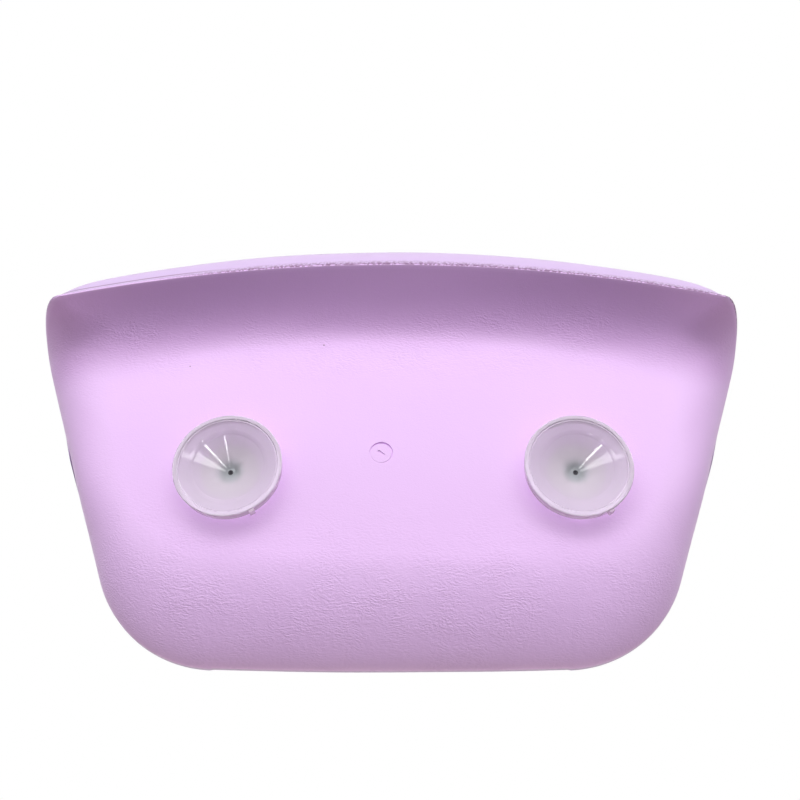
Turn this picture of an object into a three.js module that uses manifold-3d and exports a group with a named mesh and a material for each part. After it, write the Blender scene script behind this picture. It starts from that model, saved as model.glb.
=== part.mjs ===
// Bath pillow: a cast foam body with a hooked top edge, held to the tub by two suction cups.
// Millimetres, +Z up. The back faces +Y. The origin is on the tub wall, midway between the cups.

import * as THREE from 'three';
import { mergeVertices } from 'three/addons/utils/BufferGeometryUtils.js';
import Module from 'manifold-3d';

// Where the two cups stand, and how far the body's middle lies to one side of their midpoint
const cupSpacing = 144.4;
const bodyOffset = 5.1;

// Foam body: the outline of its widest part, seen from the back
const halfWidth = 136.8; // at the height of the cups
const sideLean = 21; // degrees out from upright
const crestRise = 20.6; // above the lip's edge
const crestDrop = 38.8;
const crestCornerRadius = 73;
const bottomDepth = 77.3;
const bottomRise = 2.7;
const bottomCornerRadius = 54.6;
const sideBulge = 0.3;

// Foam body: the sharp edge of the hooked lip, which runs on round the sides as the mould's parting line
const lipHeight = 91.9;
const lipDrop = 21.3;
const lipCornerRadius = 11.5;
const lipReach = 20.5; // behind the flat back
const lipAngle = 47.5; // degrees that the hollow under the lip turns away from the flat back
const lipLead = 5.8; // how far before its corner the lip begins to sink to the sides' parting line
const lipRun = 24.6; // length of edge over which it sinks
const turnLead = 6.9; // how far before that corner the hollow begins to turn into the rounded side
const turnRun = 58;
const lipLand = 1;
const crestAngle = 66; // degrees between the outer face at the lip and the way forwards
const crestLead = 17.6; // how far before the lip's corner the outer face begins to close up to the edge
const crestRun = 28;

// Foam body: depths, counted forwards from the flat back
const standOff = 9.5; // from the tub wall to the flat back
const partingDepth = 17.9;
const crownDepth = 21.5;
const crestDepth = 6.5;

// Foam body: the edge of the flat back, and the edge of the front face
const hollowRise = 29.5; // from the top of the flat back to the lip's edge
const flatTopDrop = 14.1;
const flatCornerRadius = 22;
const flatBottomInset = 42.5;
const flatInset = 22.3;
const flatBottomCornerRadius = 38;
const frontTopInset = 32.4;
const frontTopDrop = 26;
const frontCornerRadius = 50;
const frontBottomInset = 18.3;
const frontInset = 17;
const frontBottomCornerRadius = 44;

// Foam body: how far each curve between the flat back and the sharp edge keeps to its end's direction
const flatHandle = 20.5; // at the flat back, down the sides and along the bottom
const edgeHandle = 5.7; // at the parting line
const hollowHandle = 5.8; // at the flat back, under the lip
const lipHandle = 27.9; // at the lip's edge

// Foam body: the front face, a head hollow between the top roll and the neck roll
const hollowDepth = 28.5; // thickness of the foam at the bottom of the head hollow
const hollowHeight = 34;
const topRollRise = 9.5;
const neckRise = 6;
const neckHeight = -18;
const neckSpan = 30;
const wingRise = 5;

// Foam body: how finely it is divided
const topSteps = 6;
const topCornerSteps = 5;
const sideSteps = 6;
const sideGradeShare = 1.5; // the side's steps grow longer down from the lip by this power
const bottomCornerSteps = 6;
const bottomSteps = 3;
const backTurnSteps = 5;
const crestSteps = 3;
const frontTurnSteps = 4;
const backRingShares = [0.5];
const frontRingShares = [0.78, 0.54, 0.28];
const roundHandleShare = 0.55; // of a quarter round's radius
const crestHandleShare = 0.36; // of the chord
const evenTail = 2; // power of a change along the edge that begins and ends alike
const longTail = 5; // power of one that begins fast and dies away slowly

// Suction cups
const cupRadius = 22.5;
const cupLandWidth = 1.7;
const cupEdgeRound = 0.4;
const cupWallDepth = 4.8;
const cupWallDraft = 0.4;
const cupHeelRadius = 21.2;
const cupHeelDepth = 5.8;
const cupRingRadius = 14.9; // where the shallow rim meets the cone
const cupRingDepth = 2.4;
const cupRingStep = 0.3;
const cupFineRings = 3;
const cupFineRingHeight = 0.2;
const cupFineFootShare = 0.5; // where a fine ring starts to rise, as a share of the rings' spacing
const cupFineTopShare = 0.75;
const cupApexDepth = 8.9;
const cupApexRadius = 1.9;
const cupPinRadius = 1;
const cupPinDepth = 10.6;
const cupBackRadius = 8.5;
const neckRadius = 4.6;
const headRadius = 6.6;
const headEdge = 1;
const headLength = 5.3;
const headTipRadius = 3.2;
const nubWidth = 2.2;
const nubProud = 0.9;
const nubDepth = 3.6;
const nubAngle = 60; // degrees below level, towards the pillow's -X side
const cupSegments = 48;

// Anchor bushes, moulded into the foam
const flangeRadius = 13;
const flangeThickness = 2.2;
const barrelRadius = 9.6;
const mouthLength = 4.4;
const mouthLead = 0.7;
const cavityRadius = 7.5;
const cavityLength = 6.4;
const floorThickness = 1.4;
const footRadius = 12;
const footThickness = 1.8;
const slotWidth = 1.3;
const slotReach = 6.9; // from the axis, so the slots stop inside the cavity's radius
const slotCount = 4;
const slotTurnShare = 0.5; // of the turn from one slot to the next, away from the X axis
const bushSegments = 24;

// Clearances and the overrun of cutting bodies
const gap = 0.3;
const overrun = 1;

// Heights and depths that follow from those above
const crestHeight = lipHeight + crestRise;
const flatTop = lipHeight - hollowRise;
const flatBottom = bottomDepth - flatBottomInset;
const frontTop = crestHeight - frontTopInset;
const frontBottom = bottomDepth - frontBottomInset;

const foamMaterial = new THREE.MeshStandardMaterial({ color: 0xe3bdf2, roughness: 0.5, metalness: 0 });
const vinylMaterial = new THREE.MeshStandardMaterial({
  color: 0xe9e4ea, roughness: 0.18, metalness: 0, transparent: true, opacity: 0.5,
});
const bushMaterial = new THREE.MeshStandardMaterial({ color: 0xdcdad6, roughness: 0.55, metalness: 0 });

const wasm = await Module();
wasm.setup();

function toSolid(geometry) {
  const bare = geometry.clone();
  bare.deleteAttribute('normal');
  bare.deleteAttribute('uv');
  const merged = mergeVertices(bare);
  return new wasm.Manifold(new wasm.Mesh({
    numProp: 3,
    vertProperties: new Float32Array(merged.attributes.position.array),
    triVerts: new Uint32Array(merged.index.array),
  }));
}

function toGeometry(solid) {
  const mesh = solid.getMesh();
  const places = new Float32Array(mesh.vertProperties);
  const geometry = new THREE.BufferGeometry();
  geometry.setAttribute('position', new THREE.BufferAttribute(places, mesh.numProp));
  geometry.setIndex(new THREE.BufferAttribute(new Uint32Array(mesh.triVerts), 1));
  geometry.computeVertexNormals();
  return geometry;
}

// A round between two straight lines that meet at corner, as points from the first line to the second
function cornerRound(corner, before, after, radius, steps) {
  const turn = before.angleTo(after);
  const start = corner.clone().addScaledVector(before, -radius * Math.tan(turn / 2));
  const inward = after.clone().addScaledVector(before, -after.dot(before)).normalize();
  const points = [];
  for (let step = 0; step <= steps; step += 1) {
    const angle = (turn * step) / steps;
    points.push(start.clone()
      .addScaledVector(before, radius * Math.sin(angle))
      .addScaledVector(inward, radius * (1 - Math.cos(angle))));
  }
  return points;
}

// Half an outline of the body as x and z, from the middle of its top to the middle of its bottom
function halfOutline({ top, drop, topRadius, bottom, rise, bottomRadius, inset }) {
  const lean = THREE.MathUtils.degToRad(sideLean);
  const sideAt = (z) => halfWidth - inset / Math.cos(lean) + z * Math.tan(lean);
  const topCorner = new THREE.Vector2(sideAt(top - drop), top - drop);
  const bottomCorner = new THREE.Vector2(sideAt(rise - bottom), rise - bottom);
  const topWay = new THREE.Vector2(topCorner.x, -2 * drop).normalize();
  const sideWay = new THREE.Vector2(-Math.sin(lean), -Math.cos(lean));
  const bottomWay = new THREE.Vector2(-bottomCorner.x, -2 * rise).normalize();
  const topRound = cornerRound(topCorner, topWay, sideWay, topRadius, topCornerSteps);
  const bottomRound = cornerRound(bottomCorner, sideWay, bottomWay, bottomRadius, bottomCornerSteps);
  const points = [];
  for (let step = 0; step < topSteps; step += 1) {
    const x = (topRound[0].x * step) / topSteps;
    points.push(new THREE.Vector2(x, top - drop * (x / topCorner.x) ** 2));
  }
  points.push(...topRound);
  for (let step = 1; step < sideSteps; step += 1) {
    points.push(topRound.at(-1).clone().lerp(bottomRound[0], (step / sideSteps) ** sideGradeShare));
  }
  points.push(...bottomRound);
  for (let step = bottomSteps - 1; step >= 0; step -= 1) {
    const x = (bottomRound.at(-1).x * step) / bottomSteps;
    points.push(new THREE.Vector2(x, rise * (x / bottomCorner.x) ** 2 - bottom));
  }
  return points;
}

// A share for each point of the edge: 1 along the top, sinking to 0 from lead before its corner over run
function topShares(edge, lead, run, tail) {
  const travelled = [0];
  for (let index = 1; index < edge.length; index += 1) {
    travelled.push(travelled[index - 1] + edge[index].distanceTo(edge[index - 1]));
  }
  const start = travelled[topSteps] - lead;
  return travelled.map((length) => {
    const done = THREE.MathUtils.clamp((length - start) / run, 0, 1);
    return (1 - done) ** tail * (1 + tail * done);
  });
}

// Thickness of the foam between the flat back and the front face
function frontThickness(x, z) {
  const rollShare = THREE.MathUtils.smoothstep(z, hollowHeight, frontTop);
  const neckShare = Math.exp(-(((z - neckHeight) / neckSpan) ** 2));
  const wingShare = (x / halfWidth) ** 2 * (1 - rollShare);
  return hollowDepth + topRollRise * rollShare + neckRise * neckShare + wingRise * wingShare;
}

const deep = (point, depth) => new THREE.Vector3(point.x, -standOff - depth, point.y);
const backwards = new THREE.Vector3(0, 1, 0);

// A unit vector that leans from outward towards the back by an angle in degrees
function leaning(outward, degrees) {
  const angle = THREE.MathUtils.degToRad(degrees);
  return outward.clone().multiplyScalar(Math.cos(angle)).addScaledVector(backwards, Math.sin(angle));
}

function innerPoints(start, startHandle, endHandle, end, steps) {
  return new THREE.CubicBezierCurve3(start, startHandle, endHandle, end).getPoints(steps).slice(1, -1);
}

// One section through the body, from the flat back round the edge to the front face
function section(flat, edge, crown, front, lipShare, turnShare, crestShare) {
  const flatPoint = deep(flat, 0);
  const edgeDepth = THREE.MathUtils.lerp(partingDepth, -lipReach, lipShare);
  const edgePoint = deep(edge, edgeDepth);
  const crownPoint = deep(crown, THREE.MathUtils.lerp(crownDepth, crestDepth, lipShare));
  const frontPoint = deep(front, frontThickness(front.x, front.y));
  const outward = deep(edge, 0).sub(flatPoint).normalize();

  const turnWay = leaning(outward, THREE.MathUtils.lerp(-90, lipAngle, turnShare));
  const startLength = THREE.MathUtils.lerp(flatHandle, hollowHandle, turnShare);
  const endLength = THREE.MathUtils.lerp(edgeHandle, lipHandle, turnShare);
  const backTurn = innerPoints(
    flatPoint,
    flatPoint.clone().addScaledVector(outward, startLength),
    edgePoint.clone().addScaledVector(turnWay, -endLength),
    edgePoint,
    backTurnSteps,
  );

  const crestWay = leaning(outward, THREE.MathUtils.lerp(-90, crestAngle - 90, crestShare));
  const landPoint = edgePoint.clone().addScaledVector(leaning(outward, -90 * (1 - lipShare)), lipLand);
  const crestLength = crestHandleShare * landPoint.distanceTo(crownPoint);
  const crest = innerPoints(
    landPoint,
    landPoint.clone().addScaledVector(crestWay, crestLength),
    crownPoint.clone().addScaledVector(backwards, crestLength),
    crownPoint,
    crestSteps,
  );

  const inward = deep(front, 0).sub(deep(crown, 0));
  const frontTurn = innerPoints(
    crownPoint,
    crownPoint.clone().addScaledVector(backwards, roundHandleShare * (frontPoint.y - crownPoint.y)),
    frontPoint.clone().addScaledVector(inward, -roundHandleShare),
    frontPoint,
    frontTurnSteps,
  );
  return [flatPoint, ...backTurn, edgePoint, landPoint, ...crest, crownPoint, ...frontTurn, frontPoint];
}

// The body's outlines: of the flat back, the sharp edge, the crown where it is widest, and the front
function bodyOutlines() {
  const rise = bottomRise;
  const widest = { bottom: bottomDepth, rise, bottomRadius: bottomCornerRadius };
  return {
    flat: halfOutline({
      top: flatTop, drop: flatTopDrop, topRadius: flatCornerRadius, inset: flatInset,
      bottom: flatBottom, rise, bottomRadius: flatBottomCornerRadius,
    }),
    edge: halfOutline({
      top: lipHeight, drop: lipDrop, topRadius: lipCornerRadius, inset: sideBulge, ...widest,
    }),
    crown: halfOutline({
      top: crestHeight, drop: crestDrop, topRadius: crestCornerRadius, inset: 0, ...widest,
    }),
    front: halfOutline({
      top: frontTop, drop: frontTopDrop, topRadius: frontCornerRadius, inset: frontInset,
      bottom: frontBottom, rise, bottomRadius: frontBottomCornerRadius,
    }),
  };
}

function closedByMirror(half) {
  const inner = half.slice(1, -1).reverse();
  return [...half, ...inner.map((point) => new THREE.Vector3(-point.x, point.y, point.z))];
}

// Rings of points from the back to the front, each closed by mirroring its half
function bodyRings() {
  const { flat, edge, crown, front } = bodyOutlines();
  const lips = topShares(edge, lipLead, lipRun, evenTail);
  const turns = topShares(edge, turnLead, turnRun, longTail);
  const crests = topShares(edge, crestLead, crestRun, evenTail);
  const sections = edge.map((point, index) => section(
    flat[index], point, crown[index], front[index], lips[index], turns[index], crests[index],
  ));
  const halfRings = sections[0].map((_, ring) => sections.map((column) => column[ring]));
  const shrunk = (outline, share) => outline.map((point) => point.clone().multiplyScalar(share));
  const backRings = backRingShares.map((share) => (
    shrunk(flat, share).map((point) => deep(point, 0))
  ));
  const frontRings = frontRingShares.map((share) => (
    shrunk(front, share).map((point) => deep(point, frontThickness(point.x, point.y)))
  ));
  return [...backRings, ...halfRings, ...frontRings].map(closedByMirror);
}

// The closed body: rings joined by bands of triangles, with a fan on the back and one on the front
function bodyGeometry() {
  const rings = bodyRings();
  const count = rings[0].length;
  const middle = new THREE.Vector2(0, 0);
  const points = [deep(middle, 0), ...rings.flat(), deep(middle, frontThickness(0, 0))];
  const last = points.length - 1;
  const indices = [];
  for (let column = 0; column < count; column += 1) {
    const next = (column + 1) % count;
    indices.push(0, 1 + column, 1 + next);
    for (let ring = 0; ring < rings.length - 1; ring += 1) {
      const here = 1 + ring * count;
      const beyond = here + count;
      indices.push(here + column, beyond + column, here + next);
      indices.push(here + next, beyond + column, beyond + next);
    }
    const front = 1 + (rings.length - 1) * count;
    indices.push(last, front + next, front + column);
  }
  const places = points.flatMap((point) => point.toArray());
  const geometry = new THREE.BufferGeometry();
  geometry.setAttribute('position', new THREE.Float32BufferAttribute(places, 3));
  geometry.setIndex(indices);
  return geometry;
}

const bushDepth = mouthLength + cavityLength + floorThickness;

// Outside of the anchor bush, grown all round by clearance: flange, barrel and foot
function bushOutside(clearance, top) {
  const underFlange = -flangeThickness - clearance;
  const overFoot = footThickness - bushDepth + clearance;
  return [
    new THREE.Vector2(0, -bushDepth - clearance),
    new THREE.Vector2(footRadius + clearance, -bushDepth - clearance),
    new THREE.Vector2(footRadius + clearance, overFoot),
    new THREE.Vector2(barrelRadius + clearance, overFoot),
    new THREE.Vector2(barrelRadius + clearance, underFlange),
    new THREE.Vector2(flangeRadius + clearance, underFlange),
    new THREE.Vector2(flangeRadius + clearance, top),
  ];
}

function bushGeometry() {
  const mouthRadius = neckRadius + gap;
  const profile = [
    ...bushOutside(0, 0),
    new THREE.Vector2(mouthRadius + mouthLead, 0),
    new THREE.Vector2(mouthRadius, -mouthLead),
    new THREE.Vector2(mouthRadius, -mouthLength),
    new THREE.Vector2(cavityRadius, -mouthLength),
    new THREE.Vector2(cavityRadius, -mouthLength - cavityLength),
    new THREE.Vector2(0, -mouthLength - cavityLength),
  ];
  let bush = toSolid(new THREE.LatheGeometry(profile, bushSegments));
  for (let slot = 0; slot < slotCount / 2; slot += 1) { // each cutter makes two slots, opposite each other
    const cutter = new THREE.BoxGeometry(2 * slotReach, mouthLength + 2 * overrun, slotWidth);
    cutter.translate(0, -mouthLength / 2, 0);
    cutter.rotateY((Math.PI * (slot + slotTurnShare)) / (slotCount / 2));
    bush = bush.subtract(toSolid(cutter));
  }
  return toGeometry(bush);
}

// Fine rings moulded in the shallow rim, between the cone and the land
function fineRings(start, end) {
  const points = [];
  for (let ring = 0; ring < cupFineRings; ring += 1) {
    const foot = start.clone().lerp(end, (ring + cupFineFootShare) / cupFineRings);
    const top = start.clone().lerp(end, (ring + cupFineTopShare) / cupFineRings);
    points.push(foot, new THREE.Vector2(top.x, top.y + cupFineRingHeight));
  }
  return points;
}

// The cup's profile from the pin mark in its middle, over the rim and down the stem to the head's tip
function cupProfile() {
  const landInner = cupRadius - cupEdgeRound - cupLandWidth;
  const backDepth = standOff - gap;
  const headDepth = standOff + mouthLength + gap;
  const ringTop = new THREE.Vector2(cupRingRadius + cupRingStep, cupRingStep - cupRingDepth);
  const landStart = new THREE.Vector2(landInner, -cupEdgeRound);
  return [
    new THREE.Vector2(0, -cupPinDepth),
    new THREE.Vector2(cupPinRadius, -cupPinDepth),
    new THREE.Vector2(cupPinRadius, -cupApexDepth),
    new THREE.Vector2(cupApexRadius, -cupApexDepth),
    new THREE.Vector2(cupRingRadius, -cupRingDepth),
    ringTop,
    ...fineRings(ringTop, landStart),
    landStart,
    new THREE.Vector2(landInner + cupEdgeRound, 0),
    new THREE.Vector2(cupRadius - cupEdgeRound, 0),
    new THREE.Vector2(cupRadius, -cupEdgeRound),
    new THREE.Vector2(cupRadius - cupWallDraft, -cupWallDepth),
    new THREE.Vector2(cupHeelRadius, -cupHeelDepth),
    new THREE.Vector2(cupBackRadius, -backDepth),
    new THREE.Vector2(neckRadius, -backDepth),
    new THREE.Vector2(neckRadius, -headDepth),
    new THREE.Vector2(headRadius, -headDepth),
    new THREE.Vector2(headRadius, -headDepth - headEdge),
    new THREE.Vector2(headTipRadius, -headDepth - headLength),
    new THREE.Vector2(0, -headDepth - headLength),
  ];
}

// A cup with the small nub that its mould's gate leaves on the wall
function cupGeometry() {
  const body = toSolid(new THREE.LatheGeometry(cupProfile().reverse(), cupSegments));
  const nubLength = nubProud + cupWallDraft + overrun;
  const nub = new THREE.BoxGeometry(nubLength, nubDepth, nubWidth);
  nub.translate(cupRadius + nubProud - nubLength / 2, -cupEdgeRound - nubDepth / 2, 0);
  nub.rotateY(Math.PI - THREE.MathUtils.degToRad(nubAngle));
  return toGeometry(body.add(toSolid(nub)));
}

function foamGeometry() {
  let foam = toSolid(bodyGeometry());
  for (const side of [1, -1]) {
    const socket = new THREE.LatheGeometry(
      [...bushOutside(gap, overrun), new THREE.Vector2(0, overrun)],
      bushSegments,
    );
    socket.translate((side * cupSpacing) / 2 - bodyOffset, -standOff, 0);
    foam = foam.subtract(toSolid(socket));
  }
  return toGeometry(foam);
}

function named(name, geometry, material, x, y) {
  const mesh = new THREE.Mesh(geometry, material);
  mesh.name = name;
  mesh.position.set(x, y, 0);
  return mesh;
}

const pillow = new THREE.Group();
pillow.add(named('foam_body', foamGeometry(), foamMaterial, bodyOffset, 0));
for (const [side, way] of [['left', 1], ['right', -1]]) {
  const x = (way * cupSpacing) / 2;
  pillow.add(named(`${side}_anchor`, bushGeometry(), bushMaterial, x, -standOff));
  pillow.add(named(`${side}_suction_cup`, cupGeometry(), vinylMaterial, x, 0));
}

export default pillow;
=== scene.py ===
import bpy
import bmesh
import math
from mathutils import Matrix, Vector, noise


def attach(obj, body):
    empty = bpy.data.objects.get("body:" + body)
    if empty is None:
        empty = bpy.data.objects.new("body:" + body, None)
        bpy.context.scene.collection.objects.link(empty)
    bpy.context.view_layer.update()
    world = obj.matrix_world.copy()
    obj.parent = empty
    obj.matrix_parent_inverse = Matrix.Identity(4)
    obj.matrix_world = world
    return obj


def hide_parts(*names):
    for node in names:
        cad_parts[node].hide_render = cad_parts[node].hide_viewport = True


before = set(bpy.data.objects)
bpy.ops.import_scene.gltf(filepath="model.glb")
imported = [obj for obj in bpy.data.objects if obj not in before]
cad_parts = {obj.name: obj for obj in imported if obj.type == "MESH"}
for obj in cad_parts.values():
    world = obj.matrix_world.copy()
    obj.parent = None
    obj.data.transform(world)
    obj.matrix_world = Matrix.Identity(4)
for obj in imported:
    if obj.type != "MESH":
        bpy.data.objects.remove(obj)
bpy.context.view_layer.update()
mm = 0.001  # every size below is in millimetres
print("frame loaded:", ", ".join(sorted(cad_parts)))


# camera and light

view = {
    "lens": 40.5,  # on a 36 mm sensor
    "tilt": 27.5,  # degrees that the camera looks up at the back
    "away": 368.8,  # the camera's place from the middle between the cups, along the view and across it
    "left": 1.3,
    "above": 26.3,
    "nearest": 10,
}


def addCamera():
    tilt = math.radians(view["tilt"])
    right = Vector((-1, 0, 0))
    forward = Vector((0, -math.cos(tilt), math.sin(tilt)))
    up = Vector((0, math.sin(tilt), math.cos(tilt)))
    data = bpy.data.cameras.new("camera")
    data.lens = view["lens"]
    data.clip_start = view["nearest"] * mm
    camera = bpy.data.objects.new("camera", data)
    camera.location = -(right * view["left"] + forward * view["away"] - up * view["above"]) * mm
    camera.rotation_euler = (math.pi / 2 + tilt, 0, math.pi)
    bpy.context.collection.objects.link(camera)
    bpy.context.scene.camera = camera


lights = {  # place in millimetres, size in metres, power in watts; a gleam shows in the gloss alone
    "high": {"place": (0, 705, 970), "size": (2.2, 0.4), "power": 5.9},
    "middle": {"place": (0, 970, 705), "size": (2.2, 0.4), "power": 15.4},
    "low": {"place": (0, 1141, 371), "size": (2.2, 0.4), "power": 6.2},
    "under": {"place": (0, -396, -1133), "size": (1.6, 0.6), "power": 11.5, "colour": (1, 0.93, 0.84)},
    "front": {"place": (0, -1130, 300), "size": (2.2, 0.6), "power": 14},
    "leftSide": {"place": (1152, 288, 173), "size": (0.8, 0.8), "power": 2.4},
    "rightSide": {"place": (-1152, 288, 173), "size": (0.8, 0.8), "power": 2.4},
    "leftGleam": {"place": (505, 752, 125), "size": (0.24, 0.24), "power": 1, "gleam": True},
    "rightGleam": {"place": (-505, 752, 125), "size": (0.24, 0.24), "power": 1, "gleam": True},
    "leftStreak": {"place": (323, 827, -214), "size": (0.03, 0.12), "power": 0.25, "gleam": True},
    "rightStreak": {"place": (-328, 825, -213), "size": (0.03, 0.12), "power": 0.25, "gleam": True},
    "midStreak": {"place": (98, 831, -441), "size": (0.03, 0.06), "power": 0.12, "gleam": True},
}
surround = {  # strengths of the white room in front (-Y) and behind, and where one passes into the other
    "diffuse": {"front": 0.15, "back": 0.0, "from": -1, "to": 1},
    "glossy": {"front": 1, "back": 0.05, "from": -0.35, "to": 0.15},
    "seen": {"front": 1, "back": 1, "from": -1, "to": 1},
}
ground = {"drop": 1400, "size": 8000, "colour": (0.82, 0.82, 0.83, 1), "roughness": 0.8}


def addLights():
    for name, light in lights.items():
        data = bpy.data.lights.new(name, "AREA")
        data.shape = "RECTANGLE"
        data.size, data.size_y = light["size"]
        data.energy = light["power"]
        data.color = light.get("colour", (1, 1, 1))
        lamp = bpy.data.objects.new(name, data)
        lamp.location = Vector(light["place"]) * mm
        lamp.rotation_euler = (-lamp.location).to_track_quat("-Z", "Y").to_euler()
        lamp.visible_glossy = light.get("gleam", False)
        lamp.visible_diffuse = not lamp.visible_glossy
        bpy.context.collection.objects.link(lamp)


def addWorld():
    # the camera sees plain white, the skin's sheen a white room in front, everything else a dim one
    world = bpy.data.worlds.new("surround")
    bpy.context.scene.world = world
    world.use_nodes = True
    tree = world.node_tree
    link = tree.links.new
    tree.nodes.clear()
    out = tree.nodes.new("ShaderNodeOutputWorld")
    path = tree.nodes.new("ShaderNodeLightPath")
    place = tree.nodes.new("ShaderNodeTexCoord")
    split = tree.nodes.new("ShaderNodeSeparateXYZ")
    link(place.outputs["Generated"], split.inputs[0])
    last = None
    for name, rays in (("diffuse", None), ("glossy", "Is Glossy Ray"), ("seen", "Is Camera Ray")):
        side = surround[name]
        strength = tree.nodes.new("ShaderNodeMapRange")
        strength.inputs["From Min"].default_value = side["from"]
        strength.inputs["From Max"].default_value = side["to"]
        strength.inputs["To Min"].default_value = side["front"]
        strength.inputs["To Max"].default_value = side["back"]
        light = tree.nodes.new("ShaderNodeBackground")
        light.inputs["Color"].default_value = (1, 1, 1, 1)
        link(split.outputs["Y"], strength.inputs["Value"])
        link(strength.outputs[0], light.inputs["Strength"])
        if last:
            blend = tree.nodes.new("ShaderNodeMixShader")
            link(path.outputs[rays], blend.inputs[0])
            link(last.outputs[0], blend.inputs[1])
            link(light.outputs[0], blend.inputs[2])
            last = blend
        else:
            last = light
    link(last.outputs[0], out.inputs["Surface"])
    bpy.context.scene.view_settings.view_transform = "Standard"


def addFloor():
    bm = bmesh.new()
    bmesh.ops.create_grid(bm, x_segments=1, y_segments=1, size=ground["size"] / 2 * mm)
    bmesh.ops.translate(bm, verts=bm.verts, vec=(0, 0, -ground["drop"] * mm))
    floor = meshObject("floor", bm)
    material = newMaterial("paleFloor")
    body = shader(material)
    body.inputs["Base Color"].default_value = ground["colour"]
    body.inputs["Roughness"].default_value = ground["roughness"]
    # pale to the camera, dim in the pillow's sheen
    body.inputs["Emission Color"].default_value = ground["colour"]
    path = material.node_tree.nodes.new("ShaderNodeLightPath")
    material.node_tree.links.new(path.outputs["Is Camera Ray"], body.inputs["Emission Strength"])
    floor.data.materials.append(material)
    floor.visible_diffuse = False  # so that it doesn't light the pillow from below


# small helpers

def meshObject(name, bm):
    for face in bm.faces:
        face.smooth = True
    mesh = bpy.data.meshes.new(name)
    bm.to_mesh(mesh)
    bm.free()
    piece = bpy.data.objects.new(name, mesh)
    bpy.context.collection.objects.link(piece)
    return piece


def applyModifiers(piece):
    graph = bpy.context.evaluated_depsgraph_get()
    result = piece.evaluated_get(graph)
    mesh = bpy.data.meshes.new_from_object(result, preserve_all_data_layers=True, depsgraph=graph)
    piece.modifiers.clear()
    piece.data = mesh


def cutWith(piece, cutter, operation="DIFFERENCE"):
    step = piece.modifiers.new("cut", "BOOLEAN")
    step.object = cutter
    step.operation = operation
    step.solver = "EXACT"
    applyModifiers(piece)
    bpy.data.objects.remove(cutter)


def newMaterial(name):
    material = bpy.data.materials.new(name)
    material.use_nodes = True
    return material


def shader(material):
    return material.node_tree.nodes["Principled BSDF"]


def addNode(tree, kind, **values):
    node = tree.nodes.new(kind)
    for name, value in values.items():
        if hasattr(node, name):
            setattr(node, name, value)
        else:
            node.inputs[name.replace("_", " ")].default_value = value
    return node


def addRange(tree, low, high, toLow=0, toHigh=1):
    return addNode(tree, "ShaderNodeMapRange", From_Min=low, From_Max=high, To_Min=toLow, To_Max=toHigh)


def addMath(tree, operation, value=None):
    node = addNode(tree, "ShaderNodeMath", operation=operation)
    if value is not None:
        node.inputs[1].default_value = value
    return node


def addVectorMath(tree, operation, value=None):
    node = addNode(tree, "ShaderNodeVectorMath", operation=operation)
    if value is not None:
        node.inputs[1].default_value = value
    return node


def addTint(tree, colour, under=None):
    # mixes a colour over what comes in at input 6, or over a second colour
    node = addNode(tree, "ShaderNodeMix", data_type="RGBA")
    node.inputs[7].default_value = colour
    if under:
        node.inputs[6].default_value = under
    return node


def addRamp(tree, stops):
    # stops are shares and colours, in order
    node = addNode(tree, "ShaderNodeValToRGB")
    first, last = node.color_ramp.elements
    first.position, first.color = stops[0]
    last.position, last.color = stops[-1]
    for share, colour in stops[1:-1]:
        node.color_ramp.elements.new(share).color = colour
    return node


def newGroup(name, inputs, outputs):
    tree = bpy.data.node_groups.new(name, "ShaderNodeTree")
    for label, kind, value in inputs:
        socket = tree.interface.new_socket(label, in_out="INPUT", socket_type=kind)
        if value is not None:
            socket.default_value = value
    for label, kind in outputs:
        tree.interface.new_socket(label, in_out="OUTPUT", socket_type=kind)
    return tree, tree.nodes.new("NodeGroupInput"), tree.nodes.new("NodeGroupOutput")


# foam body

foam = {
    "offset": 5.1,  # of the body's middle from the cups' midpoint
    "halfWidth": 136.8,
    "sideLean": 21,
    "lipHeight": 91.9,
    "crestRise": 20.6,
    "hollowRise": 29.5,
    "bottomDepth": 77.3,
    "flatBottomInset": 42.5,
    "frontTopInset": 32.4,
    "frontBottomInset": 18.3,
    "standOff": 9.5,
    "partingDepth": 17.9,
    "lipReach": 20.5,
    "lipAngle": 47.5,
    "lipLead": 5.8,
    "lipRun": 24.6,
    "turnLead": 6.9,
    "turnRun": 58,
    "turnTail": 5,
    "lipLand": 1,
    "crestAngle": 66,
    "crestLead": 17.6,
    "crestRun": 28,
    "crestHandle": 0.36,  # as a share of the way from the land to the crown
    "crestCrowding": 1.7,  # of the crest's rings towards the land
    "frontHandle": 0.55,
    "flatHandle": 20.5,
    "edgeHandle": 5.7,
    "hollowHandle": 5.8,
    "lipHandle": 27.9,
    "crownDepth": 21.5,
    "crestDepth": 6.5,
    "hollowDepth": 28.5,
    "hollowHeight": 34,
    "topRollRise": 9.5,
    "neckRise": 6,
    "neckHeight": -18,
    "neckSpan": 30,
    "wingRise": 5,
    "trimReach": 2.8,  # of the ragged cut past the land
}
outlines = {  # drop and rise are how far the ends fall away from the middle
    "flat": {"drop": 14.1, "topRadius": 22, "rise": 2.7, "bottomRadius": 38, "inset": 22.3},
    "edge": {"drop": 21.3, "topRadius": 11.5, "rise": 2.7, "bottomRadius": 54.6, "inset": 0.3},
    "crown": {"drop": 38.8, "topRadius": 73, "rise": 2.7, "bottomRadius": 54.6, "inset": 0},
    "front": {"drop": 26, "topRadius": 50, "rise": 2.7, "bottomRadius": 44, "inset": 17},
}
evening = {  # of the hollow round the lip's corner, in millimetres, shares and rings
    "reach": 75, "fullShare": 0.4, "spread": 9, "spreads": 2.6, "least": 0.1, "keptRings": 14,
}
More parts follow.
